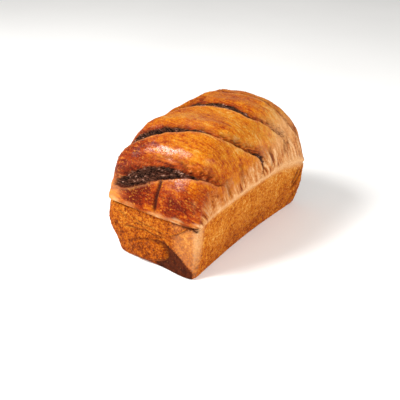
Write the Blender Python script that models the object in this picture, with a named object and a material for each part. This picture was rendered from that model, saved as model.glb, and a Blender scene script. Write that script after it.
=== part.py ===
"""Tin-baked marbled rye loaf, whole and uncut, as one closed solid.

X runs across the loaf, Y along it and Z up. The origin is on the flat underside, in the middle
of the loaf. The end at -Y carries the patch of dark dough; the crown has four slashes.
Places below are in mm, from the middle of the tin-shaped body.
"""
import math

import bmesh
import bpy
import numpy as np
from mathutils import Vector, kdtree, noise

MM = 0.001

# Tin-shaped body, mm
RIM_HALF_W = 65.8
RIM_HALF_L = 120.3
BASE_HALF_W = 57.0
BASE_HALF_L = 118.0
RIM_Z = 68.1
RIM_ARCH = 10.0
RIM_ARCH_POW = 5
RIM_DROP_FAR = 10.9
CORNER_PULL = 3.0
CORNER_POW_W = 10
CORNER_POW_L = 18
BASE_ROUND = 4.5
BASE_ROUND_SHARE = 0.09

# Risen crown, mm and bare exponents
CROWN_H = 83.0
CROWN_POW_W = 3.93
CROWN_POW_L = 3.95
CROWN_POW = 3.2

# Corners of the crown leaning in above the rim, mm: the near right one and the others
LEAN_NEAR = 13.0
LEAN_OTHER = 3.0
LEAN_POW_W = 4
LEAN_POW_L = 8
LEAN_RISE = 34.0

# Crown standing out over the rim, mm
OVERHANG_END = 3.4
OVERHANG_SIDE = 0.6
OVERHANG_RISE = 4.0
OVERHANG_FADE = 28.0
CRACK_DEPTH_END = 2.6
CRACK_CALM = 0.4
CRACK_CALM_X = 18.0
CRACK_CALM_FADE = 22.0
CRACK_HALF = 1.5

# How far a surface must face an end to count as the end: from none to full
END_TURN_CROWN = (0.35, 0.85)
END_TURN_WALL = (0.5, 0.9)

# Slashes, each from its left end to its right end.
# A station is (across -1..1, along -1..1, width mm, depth mm, height of the lip mm).
SLASHES = (
    ((-0.60, -0.925, 9, 3.6, 0.0), (-0.48, -0.940, 15, 6.4, -1.0), (-0.29, -0.920, 19, 8.6, -3.0),
     (-0.04, -0.863, 20, 9.6, -4.0), (0.09, -0.831, 17, 9.4, -4.2), (0.28, -0.790, 13, 8.2, -4.0),
     (0.50, -0.742, 9, 6.0, -2.6), (0.65, -0.688, 7, 3.6, -0.6), (0.84, -0.549, 5, 2.0, 1.4),
     (0.93, -0.400, 3, 1.0, 0.6)),
    ((-0.86, -0.720, 5, 1.5, 0.4), (-0.72, -0.700, 10, 5.6, 1.2), (-0.55, -0.650, 13, 8.6, 1.8),
     (-0.24, -0.543, 13, 9.6, 2.0), (-0.02, -0.448, 11, 9.4, 2.0), (0.22, -0.381, 9, 7.6, 1.8),
     (0.42, -0.348, 6, 5.6, 1.8), (0.57, -0.294, 5, 4.2, 2.2), (0.76, -0.161, 5, 3.6, 2.8),
     (0.85, -0.060, 6, 4.6, 3.4), (0.91, 0.003, 7, 5.6, 3.6), (0.96, 0.022, 7, 5.4, 3.2),
     (0.98, 0.024, 5, 3.6, 2.0), (0.995, 0.024, 3, 1.2, 0.6)),
    ((-0.86, -0.460, 5, 1.5, 0.4), (-0.66, -0.400, 10, 5.0, 1.2), (-0.47, -0.310, 13, 7.6, 1.6),
     (-0.37, -0.200, 13, 9.0, 1.8), (-0.27, -0.095, 13, 9.4, 1.8), (-0.13, -0.033, 12, 9.2, 1.8),
     (0.10, 0.012, 10, 8.4, 1.8), (0.30, 0.020, 8, 6.6, 1.8), (0.46, 0.036, 6, 5.2, 1.8),
     (0.59, 0.098, 5, 4.0, 2.0), (0.74, 0.187, 5, 2.8, 2.4), (0.84, 0.300, 5, 2.6, 2.2),
     (0.91, 0.374, 4, 2.0, 1.6), (0.965, 0.412, 3, 0.8, 0.6)),
    ((-0.62, 0.160, 6, 1.4, 0.5), (-0.30, 0.260, 9, 2.4, 1.2), (-0.02, 0.323, 10, 3.0, 1.6),
     (0.16, 0.338, 10, 3.2, 1.8), (0.37, 0.330, 9, 3.2, 1.8), (0.54, 0.342, 8, 3.0, 1.8),
     (0.67, 0.393, 7, 2.6, 1.8), (0.75, 0.470, 6, 2.0, 1.4), (0.85, 0.580, 4, 1.0, 0.6)),
)
SPLINE_STEPS = 22
SLANT_STEP = 0.004
LIP_RUN = 1.7
FLOOR_SHARE = 0.45
LIP_FADES = (13.0, 9.0, 9.0, 9.0)
FAR_SHARE = 0.45
FAR_RUN = 20.0
SHOULDER_H = 2.2
SHOULDER_OFFSET = 17.0
SHOULDER_HALF = 12.0
SHOULDER_FULL_DEPTH = 4.0
SLASH_END_FADE = 4.0

# Folds and grooves as lines: (points mm, depth mm, half width mm); each end fades over a share
GROOVE_END_SHARE = 0.17
SEAM_UP_FRONT = (((7.2, -116, 119), (6.5, -119, 102), (5.2, -120, 89), (4.2, -122, 73)), 2.0, 1.3)
END_WRINKLES = (
    (((-60, -116, 37), (-56, -116, 38), (-46, -119, 41)), 1.2, 1.2),
    (((-48, -119, 38), (-35, -119, 42), (-24, -119, 42), (-12, -119, 44), (-3, -119, 42),
      (9, -119, 42), (18, -119, 44)), 0.7, 1.3),
    (((-34, -119, 56), (-26, -119, 55), (-17, -119, 52), (-5, -119, 51), (7, -119, 48),
      (21, -119, 47)), 0.7, 1.3),
)
FAR_FOLDS = (
    (((64, 116, 54), (62, 115, 42), (60, 112, 30), (58, 106, 19), (57, 97, 10)), 2.0, 1.5),
    (((65, 113, 62), (63, 109, 52), (61, 98, 38), (60, 88, 29)), 1.6, 1.5),
    (((64, 103, 60), (62, 95, 48), (61, 88, 38)), 1.1, 1.3),
)
PLEATS = (
    (((63, -67, 112), (65, -63, 101), (66, -59, 86)), 1.3, 1.4),
    (((63, -37, 120), (65, -34, 106), (66, -31, 90)), 0.9, 1.6),
    (((63, 25, 120), (65, 28, 106), (66, 31, 88)), 0.9, 1.6),
    (((61, 58, 120), (64, 62, 108), (66, 66, 92)), 0.9, 1.6),
    (((-62, -64, 120), (-65, -66, 108), (-66, -68, 88)), 1.1, 1.6),
    (((-62, -5, 124), (-65, -8, 110), (-66, -10, 90)), 0.9, 1.6),
    (((-62, 52, 118), (-65, 54, 106), (-66, 56, 88)), 0.9, 1.6),
)

# Pad of light dough pressed on the end, and the patch of dark dough beside it, mm
PAD_CENTRE = (-9.0, 19.0)
PAD_HALF = (26.0, 12.8)
PAD_TILT_DEG = 12.0
PAD_POW = 2.6
PAD_H = 3.0
PAD_EDGE = 2.4
PATCH_LEFT = 2.0
PATCH_APEX = 14.0
PATCH_RUN = 46.0
PATCH_TOP = 36.5
PATCH_POW = 1.15
PATCH_RECESS = 1.4
PATCH_EDGE = 1.6

# Step where the skin of the end overlaps the smooth corner dough, mm in (x, z)
LEDGE = ((20.0, 46.5), (33.0, 53.3), (50.0, 66.5))
LEDGE_H = 1.4
LEDGE_FADE = 7.0
LEDGE_START = 8.0
LEDGE_SOFT = 0.5

# Broad pushes: (centre mm, radii mm, move mm)
PUSHES = (
    ((-61, -108, 40), (20, 50, 24), (-10.8, -1.2, 0)),
    ((-60, -108, 90), (16, 26, 24), (-1.4, -0.4, 0)),
    ((59, 0, 4), (20, 84, 22), (-4.6, 0, 0)),
    ((57, -114, 2), (16, 14, 16), (2.4, -3.4, 0)),
    ((36, -119, 2), (20, 14, 14), (0, -3.6, 0)),
    ((0, -119, 4), (50, 14, 14), (0, -1.2, 0)),
    ((60, 112, 34), (24, 30, 34), (4.0, 6.0, 0)),
    ((-46, -48, 150), (30, 50, 30), (1.2, 0, -2.4)),
    ((48, 96, 132), (30, 30, 30), (-1.2, -1.2, -0.8)),
    ((0, 119, 34), (40, 14, 24), (0, -1.2, 0)),
)

# Slow unevenness: (size mm, height mm) on the crown and on the tin walls
CROWN_SWELL = ((42.0, 1.6), (17.0, 0.7))
WALL_SWELL = ((55.0, 0.9), (14.0, 0.35))

CRUST_COLOUR = (0.47, 0.14, 0.035, 1.0)
CRUST_ROUGHNESS = 0.45

# Mesh fineness; the rows of the crown follow the slashes and crowd together at their lips
LIP_ROWS = (-0.78, -0.40, -0.02, 0.34)
LIP_ROW_BAND = 0.035
LIP_BAND = 2.2
RIM_CROWDING = 1.5
CELLS_W = 124
CELLS_L = 220
CELLS_H = 44
FACES_WANTED = 11200
NUDGE = 1e-9


def smooth(t):
    t = np.clip(t, 0.0, 1.0)
    return t * t * (3.0 - 2.0 * t)


def ramp(value, span):
    return smooth((value - span[0]) / (span[1] - span[0]))


def rim_height(x, y):
    s = x / RIM_HALF_W
    t = y / RIM_HALF_L
    far = RIM_DROP_FAR * np.clip(s, 0, 1) * np.clip(t, 0, 1) ** 2
    return RIM_Z + RIM_ARCH * (1 - np.abs(t) ** RIM_ARCH_POW) - far


def plan_point(u, v, half_w, half_l):
    """Place in plan of a square point, with the corners of the outline drawn in."""
    across = np.sin(0.5 * math.pi * u)
    along = np.sin(0.5 * math.pi * v)
    pull = CORNER_PULL * np.abs(across) ** CORNER_POW_W * np.abs(along) ** CORNER_POW_L
    x = half_w * across - np.sign(u) * pull
    y = half_l * along - np.sign(v) * pull
    return x, y


def crown_point(u, v):
    x, y = plan_point(u, v, RIM_HALF_W, RIM_HALF_L)
    rise_w = 1 - np.abs(np.sin(0.5 * math.pi * u)) ** CROWN_POW_W
    rise_l = 1 - np.abs(np.sin(0.5 * math.pi * v)) ** CROWN_POW_L
    over = CROWN_H * np.maximum(rise_w * rise_l, 0) ** (1 / CROWN_POW)
    z = rim_height(x, y) + over
    lean = np.where((u > 0) & (v < 0), LEAN_NEAR, LEAN_OTHER) * smooth(over / LEAN_RISE)
    lean = lean * (1 - rise_w) ** (LEAN_POW_W / CROWN_POW_W) * (1 - rise_l) ** (LEAN_POW_L / CROWN_POW_L)
    return np.stack([x - np.sign(u) * lean, y - np.sign(v) * lean, z], -1)


def wall_point(u, v, share):
    """Point of the tin wall; share is 0 at the underside and 1 at the rim."""
    turn = 0.5 * math.pi * np.clip(share / BASE_ROUND_SHARE, 0, 1)
    inset = BASE_ROUND * (1 - np.sin(turn))
    low_x, low_y = plan_point(u, v, BASE_HALF_W - inset, BASE_HALF_L - inset)
    high_x, high_y = plan_point(u, v, RIM_HALF_W, RIM_HALF_L)
    climb = np.clip((share - BASE_ROUND_SHARE) / (1 - BASE_ROUND_SHARE), 0, 1)
    x = low_x + (high_x - low_x) * climb
    y = low_y + (high_y - low_y) * climb
    top = rim_height(high_x, high_y)
    z = BASE_ROUND * (1 - np.cos(turn)) + (top - BASE_ROUND) * climb
    return np.stack([x, y, z], -1)


def underside_point(u, v):
    x, y = plan_point(u, v, BASE_HALF_W - BASE_ROUND, BASE_HALF_L - BASE_ROUND)
    return np.stack([x, y, np.zeros_like(x)], -1)


def spline(rows):
    """Smooth curve through rows of numbers."""
    rows = np.asarray(rows, float)
    ends = np.concatenate([2 * rows[:1] - rows[1:2], rows, 2 * rows[-1:] - rows[-2:-1]])
    t = np.linspace(0, 1, SPLINE_STEPS, endpoint=False)[:, None]
    out = []
    for a, b, c, d in zip(ends[:-3], ends[1:-2], ends[2:-1], ends[3:]):
        bend = (2 * a - 5 * b + 4 * c - d) * t ** 2 + (3 * b - a - 3 * c + d) * t ** 3
        out.append(0.5 * (2 * b + (c - a) * t + bend))
    out.append(rows[-1:])
    return np.concatenate(out)


def unit(vectors):
    return vectors / np.maximum(np.linalg.norm(vectors, axis=-1, keepdims=True), NUDGE)


def nearest(points, line):
    tree = kdtree.KDTree(len(line))
    for index, place in enumerate(line):
        tree.insert(place, index)
    tree.balance()
    return np.array([tree.find(p)[1] for p in points])


def slash_line(stations):
    """Stations close together, mm per along value square to the slash, and its sine to Y."""
    rows = spline(stations)
    across, along = rows[:, 0], rows[:, 1]
    line = crown_point(across, along)
    step = crown_point(across, along + SLANT_STEP) - crown_point(across, along - SLANT_STEP)
    tangent = unit(np.gradient(line, axis=0))
    slant = np.linalg.norm(np.cross(step, tangent), axis=1) / (2 * SLANT_STEP)
    stretch = np.linalg.norm(step, axis=1) / (2 * SLANT_STEP)
    return rows, slant, slant / stretch


def slash_lift(u, v, points, stations, lip_fade):
    """Height to add at crown points for one slash: lip, drop, floor and far slope."""
    rows, _, sine = slash_line(stations)
    middle = np.interp(u, rows[:, 0], rows[:, 1])
    chord = np.linalg.norm(points - crown_point(u, middle), axis=1)
    across = np.sign(v - middle) * chord * np.interp(u, rows[:, 0], sine)
    beyond = np.maximum(np.maximum(rows[0, 0] - u, u - rows[-1, 0]), 0) * RIM_HALF_W
    width = np.maximum(np.interp(u, rows[:, 0], rows[:, 2]), 1.0)
    depth = np.interp(u, rows[:, 0], rows[:, 3])
    lip = np.interp(u, rows[:, 0], rows[:, 4])
    drop = smooth(across / LIP_RUN)
    rise = (1 - FAR_SHARE) * smooth((across - FLOOR_SHARE * width) / ((1 - FLOOR_SHARE) * width))
    rise += FAR_SHARE * smooth((across - width) / FAR_RUN)
    lift = -depth * drop * (1 - rise)
    lift += lip * np.exp(-(across / lip_fade) ** 2) * (1 - drop)
    shoulder = np.exp(-((across - width - SHOULDER_OFFSET) / SHOULDER_HALF) ** 2)
    lift += SHOULDER_H * smooth(depth / SHOULDER_FULL_DEPTH) * shoulder
    return lift * np.exp(-(beyond / SLASH_END_FADE) ** 2)


def lay_rows(u, v):
    """Along values that put a row of the mesh on each lip, with close rows beside it."""
    given = [np.full_like(u, -1.0)]
    wanted = [np.full_like(u, -1.0)]
    for row, stations in zip(LIP_ROWS, SLASHES):
        rows, slant, _ = slash_line(stations)
        middle = np.interp(u, rows[:, 0], rows[:, 1])
        band = LIP_BAND / np.interp(u, rows[:, 0], slant)
        for side in (-1, 0, 1):
            given.append(np.full_like(u, row + side * LIP_ROW_BAND))
            wanted.append(middle + side * band)
    given.append(np.full_like(u, 1.0))
    wanted.append(np.full_like(u, 1.0))
    laid = v.copy()
    for low, high, low_to, high_to in zip(given[:-1], given[1:], wanted[:-1], wanted[1:]):
        inside = (v > low) & (v <= high)
        share = (v - low) / (high - low)
        laid = np.where(inside, low_to + (high_to - low_to) * share, laid)
    return laid


def groove_lift(points, groove):
    """Depth of a narrow groove laid near the surface."""
    path, depth, half = groove
    line = spline(path)
    index = nearest(points, line)
    gap = np.linalg.norm(points - line[index], axis=1)
    share = index / (len(line) - 1)
    taper = smooth(share / GROOVE_END_SHARE) * smooth((1 - share) / GROOVE_END_SHARE)
    return -depth * taper * np.exp(-(np.maximum(gap - half, 0) / half) ** 2)


def pad_edge(x, z):
    """Distance outward from the edge of the dough pad."""
    tilt = math.radians(PAD_TILT_DEG)
    dx = x - PAD_CENTRE[0]
    dz = z - PAD_CENTRE[1]
    a = np.abs(dx * math.cos(tilt) + dz * math.sin(tilt)) / PAD_HALF[0]
    b = np.abs(dz * math.cos(tilt) - dx * math.sin(tilt)) / PAD_HALF[1]
    return ((a ** PAD_POW + b ** PAD_POW) ** (1 / PAD_POW) - 1) * PAD_HALF[1]


def patch_edge(x, z):
    """Distance outward from the edge of the dark patch, roughly."""
    run = np.clip((x - PATCH_APEX) / PATCH_RUN, 0, 1)
    top = PATCH_TOP * (1 - run ** PATCH_POW)
    return np.maximum(np.maximum(z - top, PATCH_LEFT - x), PATCH_EDGE - pad_edge(x, z))


def end_wall_lift(points, facing):
    x = points[:, 0]
    z = points[:, 2]
    lift = PAD_H * smooth(0.5 - pad_edge(x, z) / PAD_EDGE)
    lift -= PATCH_RECESS * smooth(0.5 - patch_edge(x, z) / PATCH_EDGE)
    ledge = np.array(LEDGE)
    above = z - np.interp(x, ledge[:, 0], ledge[:, 1])
    start = smooth((x - ledge[0, 0]) / LEDGE_START)
    step = smooth(above + LEDGE_SOFT) * np.exp(-np.maximum(above, 0) / LEDGE_FADE)
    lift += LEDGE_H * start * step
    return lift * facing


def rim_lift(points, outward):
    """Outward push of the crown just over the rim, and the crack below it at the ends."""
    over = points[:, 2] - rim_height(points[:, 0], points[:, 1])
    end = ramp(np.abs(outward[:, 1]), END_TURN_CROWN)
    stand = OVERHANG_SIDE + (OVERHANG_END - OVERHANG_SIDE) * end
    toward_corner = smooth((np.abs(points[:, 0]) - CRACK_CALM_X) / CRACK_CALM_FADE)
    crack = CRACK_DEPTH_END * end * (CRACK_CALM + (1 - CRACK_CALM) * toward_corner)
    bulge = stand * smooth(over / OVERHANG_RISE) * np.exp(-np.maximum(over, 0) / OVERHANG_FADE)
    return bulge - crack * np.exp(-(over / CRACK_HALF) ** 2)


def swell(points, scales):
    out = np.zeros(len(points))
    for size, height in scales:
        out += height * np.array([noise.noise(Vector(place) / size) for place in points])
    return out


def push(points):
    moved = points.copy()
    for centre, radii, move in PUSHES:
        gap = (points - np.array(centre)) / np.array(radii)
        moved += np.array(move) * np.exp(-(gap ** 2).sum(1))[:, None]
    return moved


def vertex_normals(points, quads):
    diagonal_a = points[quads[:, 2]] - points[quads[:, 0]]
    diagonal_b = points[quads[:, 3]] - points[quads[:, 1]]
    face = np.cross(diagonal_a, diagonal_b)
    normals = np.zeros_like(points)
    for corner in range(4):
        np.add.at(normals, quads[:, corner], face)
    return unit(normals)


def loaf_points(cube, quads):
    """Map the vertices of a cube of side 2 to the surface of the loaf, in mm."""
    u, v, w = cube.T
    top = w > 1 - NUDGE
    bottom = w < -1 + NUDGE
    wall = ~(top | bottom)
    share = 0.5 * (w + 1)
    v = v + (lay_rows(u, v) - v) * share
    share = 1 - (1 - share) ** RIM_CROWDING
    base = np.zeros_like(cube)
    base[top] = crown_point(u[top], v[top])
    base[wall] = wall_point(u[wall], v[wall], share[wall])
    base[bottom] = underside_point(u[bottom], v[bottom])
    normal = vertex_normals(base, quads)
    outward = normal.copy()
    outward[:, 2] = 0
    outward = unit(outward)
    lift = np.zeros(len(base))
    crown = base[top]
    for stations, fade in zip(SLASHES, LIP_FADES):
        lift[top] += slash_lift(u[top], v[top], crown, stations, fade)
    for groove in (SEAM_UP_FRONT,) + END_WRINKLES + FAR_FOLDS + PLEATS:
        lift += groove_lift(base, groove)
    low_fade = smooth(base[:, 2] / BASE_ROUND)
    facing = ramp(-outward[:, 1], END_TURN_WALL) * wall * low_fade
    lift += end_wall_lift(base, facing)
    lift[top] += swell(crown, CROWN_SWELL)
    lift[wall] += swell(base[wall], WALL_SWELL)
    lift *= low_fade
    points = base + normal * lift[:, None]
    points += outward * (rim_lift(base, outward) * ~bottom)[:, None]
    points[bottom, 2] = 0
    points = push(points)
    middle = 0.5 * (points.min(0) + points.max(0))
    return points - np.array([middle[0], middle[1], 0.0])


def collection(name):
    group = bpy.data.collections.new(name)
    bpy.context.scene.collection.children.link(group)
    return group


def crust_material():
    material = bpy.data.materials.new("browned_crust")
    material.use_nodes = True
    shader = material.node_tree.nodes["Principled BSDF"]
    shader.inputs["Base Color"].default_value = CRUST_COLOUR
    shader.inputs["Roughness"].default_value = CRUST_ROUGHNESS
    material.diffuse_color = CRUST_COLOUR
    return material


def subdivided_cube():
    block = bmesh.new()
    bmesh.ops.create_cube(block, size=2.0)
    for axis, cells in enumerate((CELLS_W, CELLS_L, CELLS_H)):
        along = []
        for edge in block.edges:
            span = edge.verts[0].co - edge.verts[1].co
            if abs(span[axis]) > 1.0:
                along.append(edge)
        bmesh.ops.subdivide_edges(block, edges=along, cuts=cells - 1, use_grid_fill=True)
    return block


def loaf_mesh():
    block = subdivided_cube()
    block.verts.index_update()
    cube = np.array([vert.co[:] for vert in block.verts])
    quads = np.array([[vert.index for vert in face.verts] for face in block.faces])
    for vert, place in zip(block.verts, loaf_points(cube, quads) * MM):
        vert.co = place
    mesh = bpy.data.meshes.new("loaf")
    block.to_mesh(mesh)
    block.free()
    mesh.shade_smooth()
    return mesh


def main():
    for item in list(bpy.data.objects):
        bpy.data.objects.remove(item)
    parts = collection("marble_rye_bread")
    loaf = bpy.data.objects.new("loaf", loaf_mesh())
    parts.objects.link(loaf)
    loaf.data.materials.append(crust_material())
    triangles = sum(len(face.vertices) - 2 for face in loaf.data.polygons)
    thin = loaf.modifiers.new("thin_out", "DECIMATE")
    thin.ratio = FACES_WANTED / triangles
    thin.use_collapse_triangulate = True


main()
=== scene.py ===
"""Marbled rye loaf baked in an open tin, whole and uncut.

The loaf is one mesh over the tin-shaped body and the risen crown, with its slashes, torn skin,
folds and pits cut in, and masks that colour its crust. Blisters, strands, nubs of dark crumb and
bumps of the walls are scattered over it with Geometry Nodes. Places are in mm, from the middle of
the tin-shaped body: X across the loaf, Y along it, Z up, with the end that shows the dark dough
at -Y. Each share and mask runs from 0 to 1.
"""
import math

import bpy
import numpy as np
from mathutils import Matrix, Vector, kdtree, noise


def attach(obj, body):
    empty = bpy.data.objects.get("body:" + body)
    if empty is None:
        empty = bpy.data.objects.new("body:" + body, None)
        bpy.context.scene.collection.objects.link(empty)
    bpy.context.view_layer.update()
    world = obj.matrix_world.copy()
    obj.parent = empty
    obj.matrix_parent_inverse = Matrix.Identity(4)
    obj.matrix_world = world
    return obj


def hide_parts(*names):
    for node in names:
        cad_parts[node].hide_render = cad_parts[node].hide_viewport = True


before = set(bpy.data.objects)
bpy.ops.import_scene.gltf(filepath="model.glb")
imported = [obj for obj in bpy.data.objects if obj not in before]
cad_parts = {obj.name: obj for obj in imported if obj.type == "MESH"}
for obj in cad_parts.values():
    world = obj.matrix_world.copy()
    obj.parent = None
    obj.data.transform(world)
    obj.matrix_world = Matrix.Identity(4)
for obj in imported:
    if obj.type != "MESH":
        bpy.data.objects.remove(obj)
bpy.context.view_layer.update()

MM = 0.001

# Tin-shaped body, mm
RIM_HALF_W = 65.8
RIM_HALF_L = 120.3
BASE_HALF_W = 57.0
BASE_HALF_L = 118.0
RIM_Z = 68.1
RIM_ARCH = 10.0
RIM_ARCH_POW = 5
RIM_DROP_FAR = 10.9
CORNER_PULL = 3.0
CORNER_POW_W = 10
CORNER_POW_L = 18
BASE_ROUND = 4.5
BASE_ROUND_SHARE = 0.09

# Risen crown, mm and bare exponents
CROWN_H = 83.0
CROWN_POW_W = 3.93
CROWN_POW_L = 3.95
CROWN_POW = 3.2

# Corners of the crown leaning in above the rim, mm: the near right one and the others
LEAN_NEAR = 13.0
LEAN_OTHER = 3.0
LEAN_POW_W = 4
LEAN_POW_L = 8
LEAN_RISE = 34.0

# Crown standing out over the rim, mm
OVERHANG_END = 3.4
OVERHANG_SIDE = 0.6
OVERHANG_RISE = 4.0
OVERHANG_FADE = 28.0

# Crack under the crown at the ends, mm: calmer in the middle, with deep painted shade in it only toward
# the corners
CRACK_DEPTH_END = 2.6
CRACK_HALF = 1.5
CRACK_CALM = 0.4
CRACK_CALM_X = 18.0
CRACK_CALM_FADE = 22.0
CRACK_SHADE = 0.8
CRACK_SHADE_X = 36.0
CRACK_SHADE_FADE = 12.0

# How far a surface must face an end or a side to count as it: from none to full
END_TURN_CROWN = (0.35, 0.85)
END_STEEP_CROWN = (0.4, 0.8)
SIDE_TURN_CROWN = (0.40, 0.85)
TURN_WALL = (0.5, 0.9)

# Slashes, each from its left end to its right end. A station is
# (across -1..1, along -1..1, width mm, depth mm, height of the lip mm, width of dark crumb mm).
SLASHES = (
    ((-0.60, -0.925, 9, 3.6, 0.0, 7), (-0.48, -0.940, 15, 6.4, -1.0, 14),
     (-0.29, -0.920, 19, 8.6, -3.0, 19), (-0.04, -0.863, 20, 9.6, -4.0, 19),
     (0.09, -0.831, 17, 9.4, -4.2, 16), (0.28, -0.790, 13, 8.2, -4.0, 11),
     (0.50, -0.742, 9, 6.0, -2.6, 4), (0.65, -0.688, 7, 3.6, -0.6, 1.5),
     (0.84, -0.549, 5, 2.0, 1.4, 0), (0.93, -0.400, 3, 1.0, 0.6, 0)),
    ((-0.86, -0.720, 5, 1.5, 0.4, 8), (-0.72, -0.700, 10, 5.6, 1.2, 14),
     (-0.55, -0.650, 13, 8.6, 1.8, 18), (-0.24, -0.543, 13, 9.6, 2.0, 19),
     (-0.02, -0.448, 11, 9.4, 2.0, 16), (0.22, -0.381, 9, 7.6, 1.8, 11),
     (0.42, -0.348, 6, 5.6, 1.8, 5), (0.57, -0.294, 5, 4.2, 2.2, 1), (0.76, -0.161, 5, 3.6, 2.8, 0),
     (0.85, -0.060, 6, 4.6, 3.4, 5), (0.91, 0.003, 7, 5.6, 3.6, 10), (0.96, 0.022, 7, 5.4, 3.2, 10),
     (0.98, 0.024, 5, 3.6, 2.0, 7), (0.995, 0.024, 3, 1.2, 0.6, 0)),
    ((-0.86, -0.460, 5, 1.5, 0.4, 2), (-0.66, -0.400, 10, 5.0, 1.2, 4),
     (-0.47, -0.310, 13, 7.6, 1.6, 9), (-0.37, -0.200, 13, 9.0, 1.8, 15),
     (-0.27, -0.095, 13, 9.4, 1.8, 18), (-0.13, -0.033, 12, 9.2, 1.8, 19),
     (0.10, 0.012, 10, 8.4, 1.8, 18), (0.30, 0.020, 8, 6.6, 1.8, 13), (0.46, 0.036, 6, 5.2, 1.8, 9),
     (0.59, 0.098, 5, 4.0, 2.0, 3), (0.74, 0.187, 5, 2.8, 2.4, 0), (0.84, 0.300, 5, 2.6, 2.2, 0),
     (0.91, 0.374, 4, 2.0, 1.6, 0), (0.965, 0.412, 3, 0.8, 0.6, 0)),
    ((-0.62, 0.160, 6, 1.4, 0.5, 0), (-0.30, 0.260, 9, 2.4, 1.2, 0), (-0.02, 0.323, 10, 3.0, 1.6, 0),
     (0.16, 0.338, 10, 3.2, 1.8, 0), (0.37, 0.330, 9, 3.2, 1.8, 0), (0.54, 0.342, 8, 3.0, 1.8, 0),
     (0.67, 0.393, 7, 2.6, 1.8, 0), (0.75, 0.470, 6, 2.0, 1.4, 0), (0.85, 0.580, 4, 1.0, 0.6, 0)),
)
SPLINE_STEPS = 22
SLANT_STEP = 0.004

# Form of a slash, mm and shares: the step down behind the lip, the climb to the far side in a
# near and a far part, the shoulder past it, and the lip's own rise, curl and wobble
LIP_RUN = 1.7
NARROWEST = 1.0
FLOOR_SHARE = 0.45
FAR_SHARE = 0.45
FAR_RUN = 20.0
SHOULDER_H = 2.2
SHOULDER_OFFSET = 17.0
SHOULDER_HALF = 12.0
SHOULDER_FULL_DEPTH = 4.0
SLASH_END_FADE = 4.0
LIP_FADES = (13.0, 9.0, 9.0, 9.0)
LIP_CURL = 1.1
LIP_CURL_FADE = 3.0
LIP_CURL_FULL = 2.0
LIP_WOBBLE = 1.1

# Colour masks of a slash, mm behind the lip: dark crumb, torn skin, painted highlight on the lip,
# browned valley in painted shade, and painted shade in the fold; they are full where the slash is this
# deep
MASKS_FULL_DEPTH = 3.0
DARK_START = 0.9
DARK_EDGE = 1.8
DARK_FULL_WIDTH = 2.5
DARK_RAGGED = 2.2
TORN_START = 1.5
TORN_RUN = 13.0
LIP_HIGHLIGHT_AT = -0.8
LIP_HIGHLIGHT_HALF = 1.5
VALLEY_RUN = 5.0
CREVICE_AT = 0.9
CREVICE_HALF = 0.6

# Folds and grooves as lines: (points mm, depth mm, half width mm); each end fades over a share of
# the line, and no groove reaches further from it than this
GROOVE_END_SHARE = 0.17
GROOVE_REACH = 12.0
SEAM_UP_FRONT = (((7.2, -116, 119), (6.5, -119, 102), (5.2, -120, 89), (4.2, -122, 73)), 2.0, 1.3)
END_WRINKLES = (
    (((-60, -116, 37), (-56, -116, 38), (-46, -119, 41)), 1.2, 0.7),
    (((-48, -119, 38), (-35, -119, 42), (-24, -119, 42), (-12, -119, 44), (-3, -119, 42),
      (9, -119, 42), (18, -119, 44)), 0.7, 0.6),
    (((-34, -119, 56), (-26, -119, 55), (-17, -119, 52), (-5, -119, 51), (7, -119, 48),
      (21, -119, 47)), 0.7, 0.6),
    (((-50, -119, 60), (-42, -119, 56), (-36, -119, 50)), 0.5, 0.6),
    (((-30, -119, 47), (-22, -119, 50), (-14, -119, 47)), 0.5, 0.6),
)
CORNER_FOLD = (((51, -120, 70), (54, -120, 69), (57, -120, 66), (60, -118, 65), (63, -114, 69)), 1.6, 0.8)
CREVICE = (((-22, -114, 113), (-8, -113, 118), (6, -112, 121), (16, -112, 123)), 2.4, 0.8)
FAR_FOLDS = (
    (((64, 116, 54), (62, 115, 42), (60, 112, 30), (58, 106, 19), (57, 97, 10)), 2.0, 1.5),
    (((65, 113, 62), (63, 109, 52), (61, 98, 38), (60, 88, 29)), 1.6, 1.5),
    (((64, 103, 60), (62, 95, 48), (61, 88, 38)), 1.1, 1.3),
)
PLEATS = (
    (((63, -67, 112), (65, -63, 101), (66, -59, 86)), 1.3, 1.4),
    (((63, -37, 120), (65, -34, 106), (66, -31, 90)), 0.9, 1.6),
    (((63, 25, 120), (65, 28, 106), (66, 31, 88)), 0.9, 1.6),
    (((61, 58, 120), (64, 62, 108), (66, 66, 92)), 0.9, 1.6),
    (((-62, -64, 120), (-65, -66, 108), (-66, -68, 88)), 1.1, 1.6),
    (((-62, -5, 124), (-65, -8, 110), (-66, -10, 90)), 0.9, 1.6),
    (((-62, 52, 118), (-65, 54, 106), (-66, 56, 88)), 0.9, 1.6),
)

# The grooves, with the share of painted shade that lies in them
GROOVES = (
    ((SEAM_UP_FRONT, CORNER_FOLD, CREVICE), 0.95),
    (END_WRINKLES, 0.7),
    (FAR_FOLDS, 0.6),
    (PLEATS, 0.35),
)

# Pad of light dough pressed on the end, and the patch of dark dough beside it, mm
PAD_CENTRE = (-9.0, 19.0)
PAD_HALF = (26.0, 12.8)
PAD_TILT_DEG = 12.0
PAD_POW = 2.6
PAD_H = 3.0
PAD_EDGE = 2.4
# Painted shade along the pad's edge: how far out and how wide mm, its strength, and its share below the
# pad
PAD_CONTOUR = 1.0
PAD_CONTOUR_SHADE = 0.75
PAD_CONTOUR_BELOW = 0.25
PATCH_LEFT = 2.0
PATCH_APEX = 14.0
PATCH_RUN = 53.0
PATCH_TOP = 36.5
PATCH_POW = 1.15
PATCH_RECESS = 1.4
PATCH_EDGE = 1.6

# Step where the skin of the end overlaps the smooth corner dough, with painted shade along its edge, mm in
# (x, z)
LEDGE = ((20.0, 46.5), (33.0, 53.3), (50.0, 66.5))
LEDGE_H = 1.4
LEDGE_FADE = 7.0
LEDGE_START = 8.0
LEDGE_SOFT = 0.5
LEDGE_LINE = 0.9
LEDGE_SHADE = 0.6

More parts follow.
